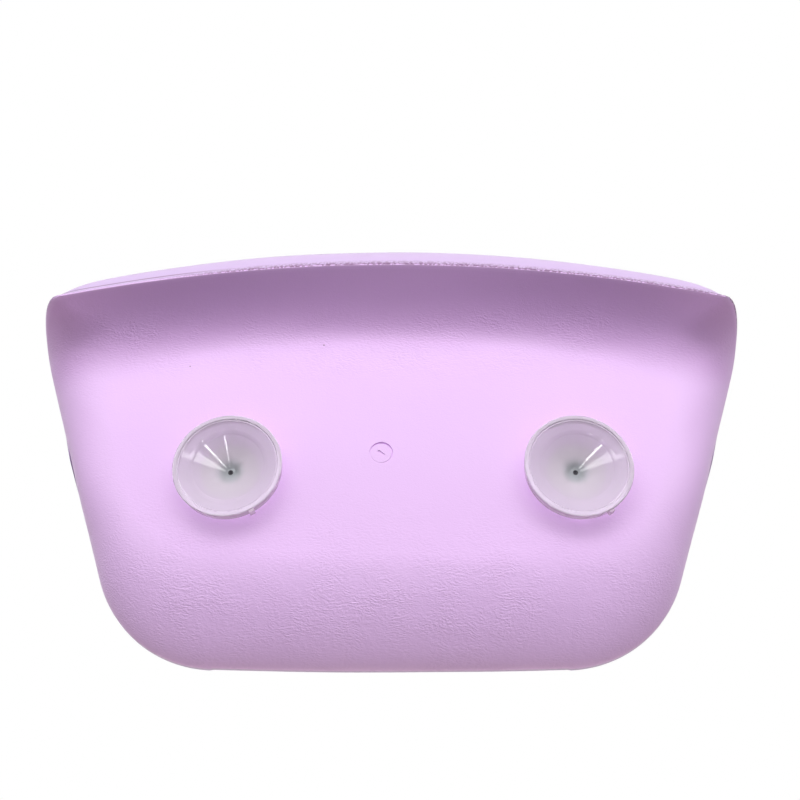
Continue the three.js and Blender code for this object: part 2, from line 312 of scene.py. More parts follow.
division = {
    "top": 78, "topCorner": 22, "side": 56, "bottomCorner": 44, "bottom": 46,
    "flatRings": 58, "backTurn": 38, "land": 5, "crest": 20, "frontTurn": 22, "frontRings": 30,
}


def cornerRound(corner, before, after, radius, steps):
    turn = before.angle(after)
    start = corner - before * radius * math.tan(turn / 2)
    inward = (after - before * after.dot(before)).normalized()
    angles = [turn * step / steps for step in range(steps + 1)]
    return [start + before * radius * math.sin(a) + inward * radius * (1 - math.cos(a)) for a in angles]


def halfOutline(kind, top, bottom):
    # from the middle of the top round the +X side to the middle of the bottom
    shape = outlines[kind]
    radius = shape["topRadius"]
    lean = math.radians(foam["sideLean"])

    def sideAt(z):
        return foam["halfWidth"] - shape["inset"] / math.cos(lean) + z * math.tan(lean)

    topCorner = Vector((sideAt(top - shape["drop"]), top - shape["drop"]))
    bottomCorner = Vector((sideAt(shape["rise"] - bottom), shape["rise"] - bottom))
    sideWay = Vector((-math.sin(lean), -math.cos(lean)))
    bottomWay = Vector((-bottomCorner.x, -2 * shape["rise"])).normalized()
    low, high = 0, topCorner.x
    while high - low > 0.01:  # finds where the round leaves the drooping top without a step
        x = (low + high) / 2
        slope = -2 * shape["drop"] * x / topCorner.x ** 2
        height = top - shape["drop"] * (x / topCorner.x) ** 2 - slope * x
        meetX = (sideAt(0) + height * math.tan(lean)) / (1 - slope * math.tan(lean))
        topWay = Vector((1, slope)).normalized()
        first, last = cornerRound(Vector((meetX, height + slope * meetX)), topWay, sideWay, radius, 1)
        low, high = (x, high) if first.x > x else (low, x)
    centre = first + Vector((topWay.y, -topWay.x)) * radius
    # the columns stay beside the edge's, where a round fitted to the corner itself would put them
    cornerWay = Vector((topCorner.x, -2 * shape["drop"])).normalized()
    evenStart = cornerRound(topCorner, cornerWay, sideWay, radius, 1)[0].x
    firstTurn = math.asin((evenStart - centre.x) / radius)
    lastTurn = math.atan2(last.x - centre.x, last.y - centre.y)
    bottomRadius = shape["bottomRadius"]
    bottomRound = cornerRound(bottomCorner, sideWay, bottomWay, bottomRadius, division["bottomCorner"])
    points = []
    for step in range(division["top"]):
        x = evenStart * step / division["top"]
        z = top - shape["drop"] * (x / topCorner.x) ** 2
        if x > first.x:
            z = centre.y + math.sqrt(radius ** 2 - (x - centre.x) ** 2)
        points.append(Vector((x, z)))
    for step in range(division["topCorner"] + 1):
        turn = mix(firstTurn, lastTurn, step / division["topCorner"])
        points.append(centre + Vector((math.sin(turn), math.cos(turn))) * radius)
    for step in range(1, division["side"]):
        points.append(last.lerp(bottomRound[0], step / division["side"]))
    points += bottomRound
    for step in reversed(range(division["bottom"])):
        x = bottomRound[-1].x * step / division["bottom"]
        points.append(Vector((x, shape["rise"] * (x / bottomCorner.x) ** 2 - bottom)))
    return points


def smoothStep(value, low, high):
    share = min(max((value - low) / (high - low), 0), 1)
    return share * share * (3 - 2 * share)


def mix(low, high, share):
    return low + (high - low) * share


def lengthsAlong(outline):
    lengths = [0]
    for here, last in zip(outline[1:], outline):
        lengths.append(lengths[-1] + (here - last).length)
    return lengths


def topShares(edge, lead, run, tail=2):
    # 1 along the top of the edge, sinking to 0 from a lead before its corner; a higher tail sinks sooner
    travelled = lengthsAlong(edge)
    start = travelled[division["top"]] - lead
    turned = [min(max((length - start) / run, 0), 1) for length in travelled]
    return [(1 - t) ** tail * (1 + tail * t) for t in turned]


def frontThickness(x, z):
    frontTop = foam["lipHeight"] + foam["crestRise"] - foam["frontTopInset"]
    roll = smoothStep(z, foam["hollowHeight"], frontTop)
    neck = math.exp(-(((z - foam["neckHeight"]) / foam["neckSpan"]) ** 2))
    wing = (x / foam["halfWidth"]) ** 2
    return (foam["hollowDepth"] + foam["topRollRise"] * roll + foam["neckRise"] * neck
            + foam["wingRise"] * wing * (1 - roll))


def deep(point, depth):
    return Vector((point.x, -foam["standOff"] - depth, point.y))


def leaning(outward, degrees):
    angle = math.radians(degrees)
    return outward * math.cos(angle) + Vector((0, math.sin(angle), 0))


def bezier(start, startHandle, endHandle, end, steps, crowding=1):
    points = []
    for step in range(steps + 1):
        t = (step / steps) ** crowding
        points.append(start * (1 - t) ** 3 + startHandle * 3 * t * (1 - t) ** 2
                      + endHandle * 3 * t * t * (1 - t) + end * t ** 3)
    return points


def section(flat, edge, crown, front, lipShare, turnShare, crestShare):
    # from the flat back round the edge to the front, in four parts
    backwards = Vector((0, 1, 0))
    flatPoint = deep(flat, 0)
    edgePoint = deep(edge, mix(foam["partingDepth"], -foam["lipReach"], lipShare))
    crownPoint = deep(crown, mix(foam["crownDepth"], foam["crestDepth"], lipShare))
    frontPoint = deep(front, frontThickness(front.x, front.y))
    outward = (deep(edge, 0) - flatPoint).normalized()
    turnWay = leaning(outward, mix(-90, foam["lipAngle"], turnShare))
    startLength = mix(foam["flatHandle"], foam["hollowHandle"], turnShare)
    endLength = mix(foam["edgeHandle"], foam["lipHandle"], turnShare)
    backTurn = bezier(flatPoint, flatPoint + outward * startLength,
                      edgePoint - turnWay * endLength, edgePoint, division["backTurn"])
    landPoint = edgePoint + leaning(outward, -90 * (1 - lipShare)) * foam["lipLand"]
    land = [edgePoint.lerp(landPoint, (step + 1) / division["land"]) for step in range(division["land"] - 1)]
    crestWay = leaning(outward, mix(-90, foam["crestAngle"] - 90, crestShare))
    crestLength = foam["crestHandle"] * (landPoint - crownPoint).length
    crest = bezier(landPoint, landPoint + crestWay * crestLength, crownPoint + backwards * crestLength,
                   crownPoint, division["crest"], foam["crestCrowding"])
    inward = deep(front, 0) - deep(crown, 0)
    forwards = backwards * (frontPoint.y - crownPoint.y)
    frontTurn = bezier(crownPoint, crownPoint + forwards * foam["frontHandle"],
                       frontPoint - inward * foam["frontHandle"], frontPoint, division["frontTurn"])
    return backTurn, land, crest[:-1], frontTurn


def evenCorner(sections, edge):
    # averages the hollow's columns with their neighbours round the lip's corner, so that no crease runs down
    travelled = lengthsAlong(edge)
    middle = travelled[division["top"] + division["topCorner"] // 2]
    last = len(travelled) - 1
    steps = [travelled[min(i + 1, last)] - travelled[max(i - 1, 0)] for i in range(last + 1)]
    turns = [column[0] for column in sections]
    evened = []
    for index, here in enumerate(travelled):
        nearness = smoothStep(abs(here - middle), evening["reach"], evening["reach"] * evening["fullShare"])
        near = [i for i in range(last + 1) if abs(travelled[i] - here) < evening["spreads"] * evening["spread"]]
        places = list(turns[index])
        for ring in range(len(places)):
            fromEdge = smoothStep(division["backTurn"] - ring, 0, evening["keptRings"])
            width = evening["spread"] * nearness * fromEdge
            if width < evening["least"]:
                continue
            weights = [steps[i] * math.exp(-0.5 * ((travelled[i] - here) / width) ** 2) for i in near]
            total = Vector((0, 0, 0))
            for i, weight in zip(near, weights):
                total += turns[i][ring] * weight
            places[ring] = total / sum(weights)
        evened.append(places)
    for column, places in zip(sections, evened):
        column[0][:] = places


def bodyRings():
    # rings from the middle of the back to the middle of the front, each with its share of the trimmed edge,
    # and the lip's share in each column
    top = foam["lipHeight"]
    crestTop = top + foam["crestRise"]
    bottom = foam["bottomDepth"]
    flat = halfOutline("flat", top - foam["hollowRise"], bottom - foam["flatBottomInset"])
    edge = halfOutline("edge", top, bottom)
    crown = halfOutline("crown", crestTop, bottom)
    front = halfOutline("front", crestTop - foam["frontTopInset"], bottom - foam["frontBottomInset"])
    lipShares = topShares(edge, foam["lipLead"], foam["lipRun"])
    turnShares = topShares(edge, foam["turnLead"], foam["turnRun"], foam["turnTail"])
    crestShares = topShares(edge, foam["crestLead"], foam["crestRun"])
    columns = zip(flat, edge, crown, front, lipShares, turnShares, crestShares)
    sections = [section(*column) for column in columns]
    evenCorner(sections, edge)
    flat = [Vector((column[0][0].x, column[0][0].z)) for column in sections]
    rings = []
    for ring in range(division["flatRings"]):
        share = ring / division["flatRings"]
        rings.append(([deep(point * share, 0) for point in flat], 0))
    crestStart = sections[0][2][0]
    for part in range(4):
        for ring in range(len(sections[0][part])):
            places = [column[part][ring] for column in sections]
            pastLand = max(0, 1 - (places[0] - crestStart).length / foam["trimReach"])
            rings.append((places, (0, 1, pastLand, 0)[part]))
    for ring in reversed(range(division["frontRings"])):
        share = ring / division["frontRings"]
        places = [deep(point * share, frontThickness(point.x * share, point.y * share)) for point in front]
        rings.append((places, 0))
    return rings, lipShares


def mirrored(half):
    return half + [Vector((-place.x, place.y, place.z)) for place in reversed(half[1:-1])]


def extrudeLoop(bm, loop, places):
    edges = [bm.edges.get(pair) for pair in zip(loop, loop[1:] + loop[:1])]
    made = set(bmesh.ops.extrude_edge_only(bm, edges=edges)["geom"])
    nextLoop = []
    for vert, place in zip(loop, places):
        other = next(edge.other_vert(vert) for edge in vert.link_edges if edge.other_vert(vert) in made)
        other.co = place
        nextLoop.append(other)
    return nextLoop


skin = {  # the relief, then where it, the tints and the painted shade in the hollow lie: pairs of places say from where to where they come in
    "wrinkleHeight": 0.03, "wrinkleLength": 5, "wrinkleDepth": 4, "wrinkleRise": 2.4,
    "swellHeight": 0.2, "swellLength": 42, "swellShift": (3, 7, 1),
    "trimHeight": 0.05, "trimLength": 1.2,
    "sharpAngle": 38,
    "smoothAbove": (-52, 6), "hollowWrinkles": (40, 58), "hollowSmooth": (64, 86), "sideWrinkles": (100, 140),
    "sideShare": 0.45, "leastShare": 0.12, "frontShare": 0.3,
    "patch": 0.75, "patchSwing": 0.5, "patchScale": 0.03,
    "cleanCut": (60, 110), "cleanShare": 0.92, "partingShadowLine": (60, 100),
    "hollowShade": (56, 74), "hollowShadeDroop": 0.2, "hollowShadeFrom": 60, "hollowShadeRings": 4,
}


def wrinkleShare(place, onBack):
    # leather-like wrinkles are strongest low on the back, round its corners and where the hollow begins
    patch = skin["patch"] + skin["patchSwing"] * noise.noise(place * skin["patchScale"])
    if not onBack:
        return skin["frontShare"] * patch
    low = 1 - smoothStep(place.z, *skin["smoothAbove"])
    hollow = smoothStep(place.z, *skin["hollowWrinkles"]) * (1 - smoothStep(place.z, *skin["hollowSmooth"]))
    side = skin["sideShare"] * smoothStep(abs(place.x), *skin["sideWrinkles"])
    return min(1, max(skin["leastShare"], low, hollow, side) * patch)


def hollowShadeShare(place):
    # the painted shade in the hollow under the lip begins lower towards the ends
    return smoothStep(place.z + skin["hollowShadeDroop"] * max(0, abs(place.x) - skin["hollowShadeFrom"]), *skin["hollowShade"])


def reliefMove(vert, layers):
    place = vert.co
    lengths = (skin["wrinkleLength"], skin["wrinkleDepth"], skin["wrinkleRise"])
    fine = noise.noise(Vector([along / length for along, length in zip(place, lengths)]))
    swell = noise.noise(place / skin["swellLength"] + Vector(skin["swellShift"]))
    rough = noise.noise(place / skin["trimLength"])
    height = (skin["wrinkleHeight"] * fine * vert[layers["wrinkle"]] + skin["swellHeight"] * swell
              + skin["trimHeight"] * rough * vert[layers["trimmedEdge"]])
    return vert.normal * height


def buildFoam():
    rings, shares = bodyRings()
    bm = bmesh.new()
    names = ("trimmedEdge", "seamShadow", "outerSide", "nearLand", "cleanEnd", "hollow", "wrinkle")
    layers = {name: bm.verts.layers.float.new(name) for name in names}
    count = 2 * (len(rings[0][0]) - 1)
    start = bmesh.ops.create_circle(bm, cap_ends=False, radius=1, segments=count)["verts"]
    loop = list(start)
    columnShares = shares + list(reversed(shares[1:-1]))
    crestRing = division["flatRings"] + division["backTurn"] + division["land"]
    seamRing = crestRing - 1
    for index, (half, onLand) in enumerate(rings):
        places = mirrored(half)
        if index:
            loop = extrudeLoop(bm, loop, places)
        else:
            for vert, place in zip(loop, places):
                vert.co = place
        for vert, place, share in zip(loop, places, columnShares):
            torn = 1 - skin["cleanShare"] * smoothStep(place.x, *skin["cleanCut"])
            # the hollow under the lip gets painted shade, kept off the rings next to the land
            inHollowShade = index < seamRing - skin["hollowShadeRings"]
            vert[layers["trimmedEdge"]] = onLand * share * torn
            # the seam rings carry the painted shadow line in the gap of the flash
            vert[layers["seamShadow"]] = share * torn if index in (seamRing, seamRing + 1) else 0
            vert[layers["nearLand"]] = onLand if index > seamRing else 0
            # where the parting line's painted shadow shows, towards the lip's ends
            vert[layers["cleanEnd"]] = share * smoothStep(place.x, *skin["partingShadowLine"])
            vert[layers["hollow"]] = hollowShadeShare(place) if inHollowShade else 0
            # the crest and front, beyond the land, get painted shade
            vert[layers["outerSide"]] = 1 if index > seamRing else 0
            vert[layers["wrinkle"]] = wrinkleShare(place, index < crestRing)
    for pole in (start, loop):
        bmesh.ops.pointmerge(bm, verts=pole, merge_co=pole[0].co)
    bmesh.ops.recalc_face_normals(bm, faces=bm.faces)
    bm.normal_update()
    moves = [(vert, reliefMove(vert, layers)) for vert in bm.verts]
    for vert, move in moves:
        vert.co = (vert.co + move + Vector((foam["offset"], 0, 0))) * mm
    piece = meshObject("foam_body_skin", bm)
    for x in (cup["spacing"] / 2, -cup["spacing"] / 2):
        cutWith(piece, socketCutter(x))
    cutWith(piece, markCutter())
    piece.data.set_sharp_from_angle(angle=math.radians(skin["sharpAngle"]))
    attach(piece, "pillow")
    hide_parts("foam_body")
    piece.data.materials.clear()
    piece.data.materials.append(foamMaterial())
    return piece


# round mark left by the mould's insert

mark = {
    "x": 9.3, "z": 9.3, "radius": 4.7, "width": 1, "depth": 0.4, "tilt": 4.6, "deepSide": (-0.5, 0, 0.866),
    "slotLength": 3.4, "slotWidth": 1.1, "slotAngle": -38, "slotDeeper": 0.2, "proud": 1, "steps": 64,
}


def markCutter():
    bm = bmesh.new()
    top = -foam["standOff"] + mark["proud"]
    low = -foam["standOff"] - mark["depth"]
    groove = [(mark["radius"] - mark["width"] / 2, top), (mark["radius"] - mark["width"] / 4, low),
              (mark["radius"] + mark["width"] / 4, low), (mark["radius"] + mark["width"] / 2, top)]
    spinProfile(bm, groove, mark["steps"], closed=True)
    hingeLine = Vector((0, 1, 0)).cross(Vector(mark["deepSide"]))
    tilt = Matrix.Rotation(math.radians(mark["tilt"]), 3, hingeLine)
    bmesh.ops.rotate(bm, verts=bm.verts, cent=(0, -foam["standOff"], 0), matrix=tilt)
    size = (mark["slotLength"], 2 * (mark["depth"] + mark["slotDeeper"]), mark["slotWidth"])
    box = bmesh.ops.create_cube(bm, size=1)["verts"]
    bmesh.ops.scale(bm, vec=size, verts=box)
    bmesh.ops.rotate(bm, verts=box, matrix=Matrix.Rotation(math.radians(mark["slotAngle"]), 3, "Y"))
    bmesh.ops.translate(bm, verts=box, vec=(0, -foam["standOff"] + mark["slotDeeper"], 0))
    bmesh.ops.translate(bm, verts=bm.verts, vec=(mark["x"], 0, mark["z"]))
    bmesh.ops.scale(bm, vec=(mm, mm, mm), verts=bm.verts)
    return meshObject("markCutter", bm)


def spinProfile(bm, section, steps, closed=False):
    # turns points given as radius and y about the Y axis
    verts = [bm.verts.new((radius, y, 0)) for radius, y in section]
    pairs = list(zip(verts, verts[1:])) + ([(verts[-1], verts[0])] if closed else [])
    edges = [bm.edges.new(pair) for pair in pairs]
    bmesh.ops.spin(bm, geom=verts + edges, cent=(0, 0, 0), axis=(0, 1, 0), angle=math.tau, steps=steps,
                   use_merge=True)
    bmesh.ops.remove_doubles(bm, verts=bm.verts, dist=1e-5)
    bmesh.ops.recalc_face_normals(bm, faces=bm.faces)


# anchor bushes

anchor = {
    "flange": 13, "flangeThickness": 2.2, "barrel": 9.6, "mouth": 4.9, "mouthLead": 0.7, "mouthLength": 4.4,
    "cavity": 7.5, "cavityLength": 6.4, "floor": 1.4, "foot": 12, "footThickness": 1.8,
    "slotWidth": 1.3, "slotReach": 6.9, "slotSpare": 2, "slots": 4, "clearance": 0.3, "socketProud": 2,
    "edge": 0.25, "edgeSteps": 2, "steps": 96,
}


def anchorOutside(clearance, top):
    depth = anchor["mouthLength"] + anchor["cavityLength"] + anchor["floor"]
    underFlange = -anchor["flangeThickness"] - clearance
    overFoot = anchor["footThickness"] - depth + clearance
    return [(0, -depth - clearance), (anchor["foot"] + clearance, -depth - clearance),
            (anchor["foot"] + clearance, overFoot), (anchor["barrel"] + clearance, overFoot),
            (anchor["barrel"] + clearance, underFlange), (anchor["flange"] + clearance, underFlange),
            (anchor["flange"] + clearance, top)]


def socketCutter(x):
    bm = bmesh.new()
    profile = anchorOutside(anchor["clearance"], anchor["socketProud"]) + [(0, anchor["socketProud"])]
    spinProfile(bm, profile, anchor["steps"])
    bmesh.ops.translate(bm, verts=bm.verts, vec=(x, -foam["standOff"], 0))
    bmesh.ops.scale(bm, vec=(mm, mm, mm), verts=bm.verts)
    return meshObject("socketCutter", bm)


def buildAnchor(side, x):
    bm = bmesh.new()
    mouthEnd = -anchor["mouthLength"]
    inside = [(anchor["mouth"] + anchor["mouthLead"], 0), (anchor["mouth"], -anchor["mouthLead"]),
              (anchor["mouth"], mouthEnd), (anchor["cavity"], mouthEnd),
              (anchor["cavity"], mouthEnd - anchor["cavityLength"]), (0, mouthEnd - anchor["cavityLength"])]
    spinProfile(bm, anchorOutside(0, 0) + inside, anchor["steps"])
    bmesh.ops.translate(bm, verts=bm.verts, vec=(x, -foam["standOff"], 0))
    bmesh.ops.scale(bm, vec=(mm, mm, mm), verts=bm.verts)
    piece = meshObject(side + "_anchor_bush", bm)
    size = (2 * anchor["slotReach"], anchor["mouthLength"] + anchor["slotSpare"], anchor["slotWidth"])
    for slot in range(anchor["slots"] // 2):  # each cutter makes two facing slots
        cutter = bmesh.new()
        box = bmesh.ops.create_cube(cutter, size=1)["verts"]
        bmesh.ops.scale(cutter, vec=size, verts=box)
        turn = math.pi * (slot + 0.5) / (anchor["slots"] / 2)
        bmesh.ops.rotate(cutter, verts=box, matrix=Matrix.Rotation(turn, 3, "Y"))
        bmesh.ops.translate(cutter, verts=box, vec=(x, -foam["standOff"] - anchor["mouthLength"] / 2, 0))
        bmesh.ops.scale(cutter, vec=(mm, mm, mm), verts=box)
        cutWith(piece, meshObject("slotCutter", cutter))
    soften(piece, anchor["edge"], anchor["edgeSteps"])
    piece.data.materials.clear()
    piece.data.materials.append(anchorMaterial())
    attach(piece, "pillow")
    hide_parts(side + "_anchor")
    return piece


softening = {"bevelAngle": 30, "sharpAngle": 50}


def soften(piece, width, segments):
    edge = piece.modifiers.new("edges", "BEVEL")
    edge.width = width * mm
    edge.segments = segments
    edge.limit_method = "ANGLE"
    edge.angle_limit = math.radians(softening["bevelAngle"])
    edge.harden_normals = False
    applyModifiers(piece)
    piece.data.set_sharp_from_angle(angle=math.radians(softening["sharpAngle"]))


# suction cups

cup = {
    "spacing": 144.4, "radius": 22.5, "land": 1.7, "edgeRound": 0.4,
    "wallDepth": 4.8, "wallDraft": 0.4, "heel": 21.2, "heelDepth": 5.8,
    "ring": 14.9, "ringDepth": 2.4, "ringStep": 0.3, "fineRings": 3, "fineRingHeight": 0.2,
    "apexDepth": 8.9, "apex": 1.9, "pin": 1, "pinDepth": 10.6,
    "back": 8.5, "backDepth": 9.2, "neck": 4.6, "headDepth": 14.2, "head": 6.6, "headEdge": 1,
    "headLength": 5.3, "headTip": 3.2,
    "nubWidth": 2.2, "nubProud": 0.9, "nubDepth": 3.6, "nubAngle": 60, "nubRoot": 1,
    "soft": 0.18, "softSteps": 3, "steps": 160,
}


def cupProfile():
    landStart = Vector((cup["radius"] - cup["edgeRound"] - cup["land"], -cup["edgeRound"]))
    ringTop = Vector((cup["ring"] + cup["ringStep"], cup["ringStep"] - cup["ringDepth"]))
    points = [(0, -cup["pinDepth"]), (cup["pin"], -cup["pinDepth"]), (cup["pin"], -cup["apexDepth"])]
    for share in (0, 0.04, 0.96, 1):  # the cone keeps its normals between the two loops near its ends
        points.append((mix(cup["apex"], cup["ring"], share), -mix(cup["apexDepth"], cup["ringDepth"], share)))
    points.append(tuple(ringTop))
    for ring in range(cup["fineRings"]):
        foot = ringTop.lerp(landStart, (ring + 0.5) / cup["fineRings"])
        top = ringTop.lerp(landStart, (ring + 0.75) / cup["fineRings"])
        points += [tuple(foot), (top.x, top.y + cup["fineRingHeight"])]
    headEnd = -cup["headDepth"] - cup["headLength"]
    points += [tuple(landStart), (landStart.x + cup["edgeRound"], 0), (cup["radius"] - cup["edgeRound"], 0),
               (cup["radius"], -cup["edgeRound"]), (cup["radius"] - cup["wallDraft"], -cup["wallDepth"]),
               (cup["heel"], -cup["heelDepth"]), (cup["back"], -cup["backDepth"]),
               (cup["neck"], -cup["backDepth"]), (cup["neck"], -cup["headDepth"]),
               (cup["head"], -cup["headDepth"]), (cup["head"], -cup["headDepth"] - cup["headEdge"]),
               (cup["headTip"], headEnd), (0, headEnd)]
    return points


def buildCup(side, x):
    bm = bmesh.new()
    spinProfile(bm, cupProfile(), cup["steps"])
    bmesh.ops.translate(bm, verts=bm.verts, vec=(x, 0, 0))
    bmesh.ops.scale(bm, vec=(mm, mm, mm), verts=bm.verts)
    piece = meshObject(side + "_cup", bm)
    nub = bmesh.new()
    box = bmesh.ops.create_cube(nub, size=1)["verts"]
    length = cup["nubProud"] + cup["wallDraft"] + cup["nubRoot"]
    middle = (cup["radius"] + cup["nubProud"] - length / 2, -cup["edgeRound"] - cup["nubDepth"] / 2, 0)
    bmesh.ops.scale(nub, vec=(length, cup["nubDepth"], cup["nubWidth"]), verts=box)
    bmesh.ops.translate(nub, verts=box, vec=middle)
    turn = Matrix.Rotation(math.pi - math.radians(cup["nubAngle"]), 3, "Y")
    bmesh.ops.rotate(nub, verts=box, matrix=turn)
    bmesh.ops.translate(nub, verts=box, vec=(x, 0, 0))
    bmesh.ops.scale(nub, vec=(mm, mm, mm), verts=box)
    cutWith(piece, meshObject("nub", nub), "UNION")
    soften(piece, cup["soft"], cup["softSteps"])
    piece.data.materials.clear()
    piece.data.materials.append(vinylMaterial())
    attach(piece, side + "_cup")
    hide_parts(side + "_suction_cup")
    return piece


# materials

foamLook = {
    "lilac": (0.79, 0.53, 0.88, 1), "lilacDeep": (0.765, 0.5, 0.865, 1), "cloudScale": 14,
    # the hollow tint is painted shade under the lip; the outer tint is painted shade on the crest and front
    "hollow": (0.69, 0.42, 0.78, 1), "outer": (0.6, 0.455, 0.705, 1), "specksAndShadowLine": (0.27, 0.15, 0.28, 1),
    # the seam's darkness and the parting line below set the painted shadow line in the gap of the flash, drawn
    # in the dark trim colour, which also paints the specks
    "trimScale": 1250, "trimStretch": (0.75, 1, 1), "trimMask": (0.45, 0.53), "seamShadow": 0.75,
    "partingShadowLine": ((0.13, 0), (0.21, 0.75), (0.48, 0.75), (0.56, 0)),  # nearness to the land and darkness
    "specks": ((35.6, 62.5, 0.55), (94.8, 51.5, 0.45)),  # x, z and size
    "speckCore": 0.5, "speck": 0.7,
    "roughness": (0.41, 0.54), "specular": 0.45, "sheen": 0.15, "sheenRoughness": 0.4,
    "relief": 0.46,
}
ripples = {
    "length": 1.6, "height": 0.68, "detail": 2, "roughness": 0.5, "warp": 4, "warpScale": 130,
    "patchScale": 85, "patchMask": (0.35, 0.65), "patchLeast": 0.35, "grainLength": 0.45, "grain": 0.12,
}


def rippleGroup():
    # height of a moulded skin: fine flat ripples that lie along X and wander, over a grain
    tree, source, out = newGroup(
        "skinRipples",
        [("Length", "NodeSocketFloat", 1), ("Height", "NodeSocketFloat", 1),
         ("Grain Length", "NodeSocketFloat", 1), ("Strength", "NodeSocketFloat", 1)],
        [("Height", "NodeSocketFloat")])
    link = tree.links.new
    place = addNode(tree, "ShaderNodeTexCoord")
    warp = addNode(tree, "ShaderNodeTexNoise", Scale=ripples["warpScale"], Detail=1)
    shift = addVectorMath(tree, "MULTIPLY_ADD", (ripples["warp"] * mm,) * 3)
    millimetres = addNode(tree, "ShaderNodeVectorMath", operation="SCALE", Scale=1 / mm)
    link(place.outputs["Object"], warp.inputs["Vector"])
    link(warp.outputs["Color"], shift.inputs[0])
    link(place.outputs["Object"], shift.inputs[2])
    link(shift.outputs[0], millimetres.inputs[0])

    size = addNode(tree, "ShaderNodeCombineXYZ")
    stretched = addVectorMath(tree, "DIVIDE")
    detail, roughness = ripples["detail"], ripples["roughness"]
    ripple = addNode(tree, "ShaderNodeTexNoise", Scale=1, Detail=detail, Roughness=roughness)
    link(source.outputs["Length"], size.inputs["X"])
    link(source.outputs["Height"], size.inputs["Y"])
    link(source.outputs["Height"], size.inputs["Z"])
    link(millimetres.outputs[0], stretched.inputs[0])
    link(size.outputs[0], stretched.inputs[1])
    link(stretched.outputs[0], ripple.inputs["Vector"])

    patch = addNode(tree, "ShaderNodeTexNoise", Scale=ripples["patchScale"], Detail=2)
    patchy = addRange(tree, *ripples["patchMask"], ripples["patchLeast"], 1)
    inPatches = addMath(tree, "MULTIPLY")
    strong = addMath(tree, "MULTIPLY")
    link(place.outputs["Object"], patch.inputs["Vector"])
    link(patch.outputs["Fac"], patchy.inputs["Value"])
    link(ripple.outputs["Fac"], inPatches.inputs[0])
    link(patchy.outputs[0], inPatches.inputs[1])
    link(inPatches.outputs[0], strong.inputs[0])
    link(source.outputs["Strength"], strong.inputs[1])

    grainPlace = addVectorMath(tree, "DIVIDE")
    grain = addNode(tree, "ShaderNodeTexNoise", Scale=1, Detail=1)
    total = addMath(tree, "MULTIPLY_ADD", ripples["grain"])
    link(millimetres.outputs[0], grainPlace.inputs[0])
    link(source.outputs["Grain Length"], grainPlace.inputs[1])
    link(grainPlace.outputs[0], grain.inputs["Vector"])
    link(grain.outputs["Fac"], total.inputs[0])
    link(strong.outputs[0], total.inputs[2])
    link(total.outputs[0], out.inputs["Height"])
    return tree


def foamColour(tree, place, cloud):
    # cloudy lilac, with painted shade inside the hollow under the lip and painted shade on the crest and front
    # beyond the land
    link = tree.links.new
    tone = addTint(tree, foamLook["lilacDeep"], foamLook["lilac"])
    # painted shade in the hollow under the lip
    hollow = addNode(tree, "ShaderNodeAttribute", attribute_name="hollow")
    inside = addTint(tree, foamLook["hollow"])
    # painted shade on the crest and front, beyond the land
    outer = addNode(tree, "ShaderNodeAttribute", attribute_name="outerSide")
    side = addTint(tree, foamLook["outer"])
    link(place.outputs["Object"], cloud.inputs["Vector"])
    link(cloud.outputs["Fac"], tone.inputs[0])
    link(hollow.outputs["Fac"], inside.inputs[0])
    link(tone.outputs[2], inside.inputs[6])
    link(outer.outputs["Fac"], side.inputs[0])
    link(inside.outputs[2], side.inputs[6])
    return side.outputs[2]


def trimMask(tree, place):
    # where the cut edge shows its ragged specks, and its dark line, which is painted shadow in the gap of the
    # flash
    link = tree.links.new
    trimmed = addNode(tree, "ShaderNodeAttribute", attribute_name="trimmedEdge")
    seamShadow = addNode(tree, "ShaderNodeAttribute", attribute_name="seamShadow")
    stretched = addVectorMath(tree, "MULTIPLY", foamLook["trimStretch"])
    specks = addNode(tree, "ShaderNodeTexNoise", Scale=foamLook["trimScale"], Detail=2)
    ragged = addRange(tree, *foamLook["trimMask"])
    onTrim = addMath(tree, "MULTIPLY")
    seamShadowDarkness = addMath(tree, "MULTIPLY", foamLook["seamShadow"])
    dark = addMath(tree, "MAXIMUM")
    link(place.outputs["Object"], stretched.inputs[0])
    link(stretched.outputs[0], specks.inputs["Vector"])
    link(specks.outputs["Fac"], ragged.inputs["Value"])
    link(ragged.outputs[0], onTrim.inputs[0])
    link(trimmed.outputs["Fac"], onTrim.inputs[1])
    link(seamShadow.outputs["Fac"], seamShadowDarkness.inputs[0])
    link(onTrim.outputs[0], dark.inputs[0])
    link(seamShadowDarkness.outputs[0], dark.inputs[1])
    return dark


def partingShadowMask(tree):
    # the mould's parting line runs just above the clean end of the cut; its dark line is painted shadow in the
    # gap of the flash
    link = tree.links.new
    nearLand = addNode(tree, "ShaderNodeAttribute", attribute_name="nearLand")
    ends = addNode(tree, "ShaderNodeAttribute", attribute_name="cleanEnd")
    line = addRamp(tree, [(share, (dark, dark, dark, 1)) for share, dark in foamLook["partingShadowLine"]])
    lineShare = addMath(tree, "MULTIPLY")
    link(nearLand.outputs["Fac"], line.inputs["Fac"])
    link(line.outputs["Color"], lineShare.inputs[0])
    link(ends.outputs["Fac"], lineShare.inputs[1])
    return lineShare


def speckMask(tree, place, x, z, size):
    # a dark speck in the skin
    link = tree.links.new
    fromSpeck = addVectorMath(tree, "SUBTRACT", (x * mm, 0, z * mm))
    onPlane = addVectorMath(tree, "MULTIPLY", (1, 0, 1))
    away = addVectorMath(tree, "LENGTH")
    speck = addRange(tree, size * mm, foamLook["speckCore"] * size * mm, 0, foamLook["speck"])
    link(place.outputs["Object"], fromSpeck.inputs[0])
    link(fromSpeck.outputs[0], onPlane.inputs[0])
    link(onPlane.outputs[0], away.inputs[0])
    link(away.outputs["Value"], speck.inputs["Value"])
    return speck


